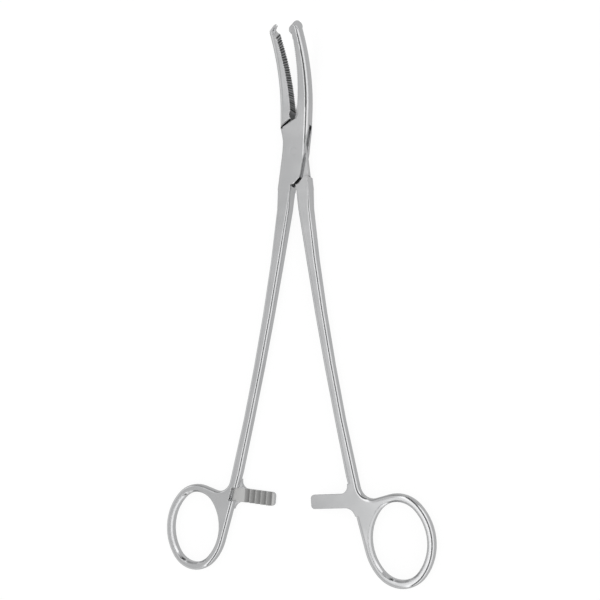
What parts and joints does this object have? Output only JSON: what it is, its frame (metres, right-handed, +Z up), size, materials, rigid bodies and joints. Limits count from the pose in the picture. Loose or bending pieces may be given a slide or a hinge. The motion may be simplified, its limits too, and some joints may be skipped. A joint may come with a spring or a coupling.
{
  "type": "hysterectomy clamp",
  "caption": "Long curved steel tissue clamp with a box lock, serrated toothed jaws, bowed shanks, ratchet bars and finger rings.",
  "frame": {"origin": "on the hinge pin's axis, at the rear face of the box lock, on which the clamp lies", "axes": "+Y along the clamp to the jaw tips, +X to the right ring's side, +Z up, along the hinge axis and the way the jaws curve"},
  "size_m": [0.1156, 0.2219, 0.0173],
  "materials": {
    "outer_half_steel": "satin polished stainless steel",
    "inner_half_steel": "satin polished stainless steel",
    "pin_steel": "satin polished stainless steel, ground flush"
  },
  "bodies": {
    "outer_half": {"female_half": "outer_half_steel", "pivot_pin": "pin_steel"},
    "inner_half": {"male_half": "inner_half_steel"}
  },
  "joints": [
    {"name": "box_lock", "type": "hinge", "parent": "outer_half", "child": "inner_half", "pos_m": [0, 0, 0.00275], "axis": [0, 0, 1], "range_deg": [-8.5, 51.5]}
  ]
}
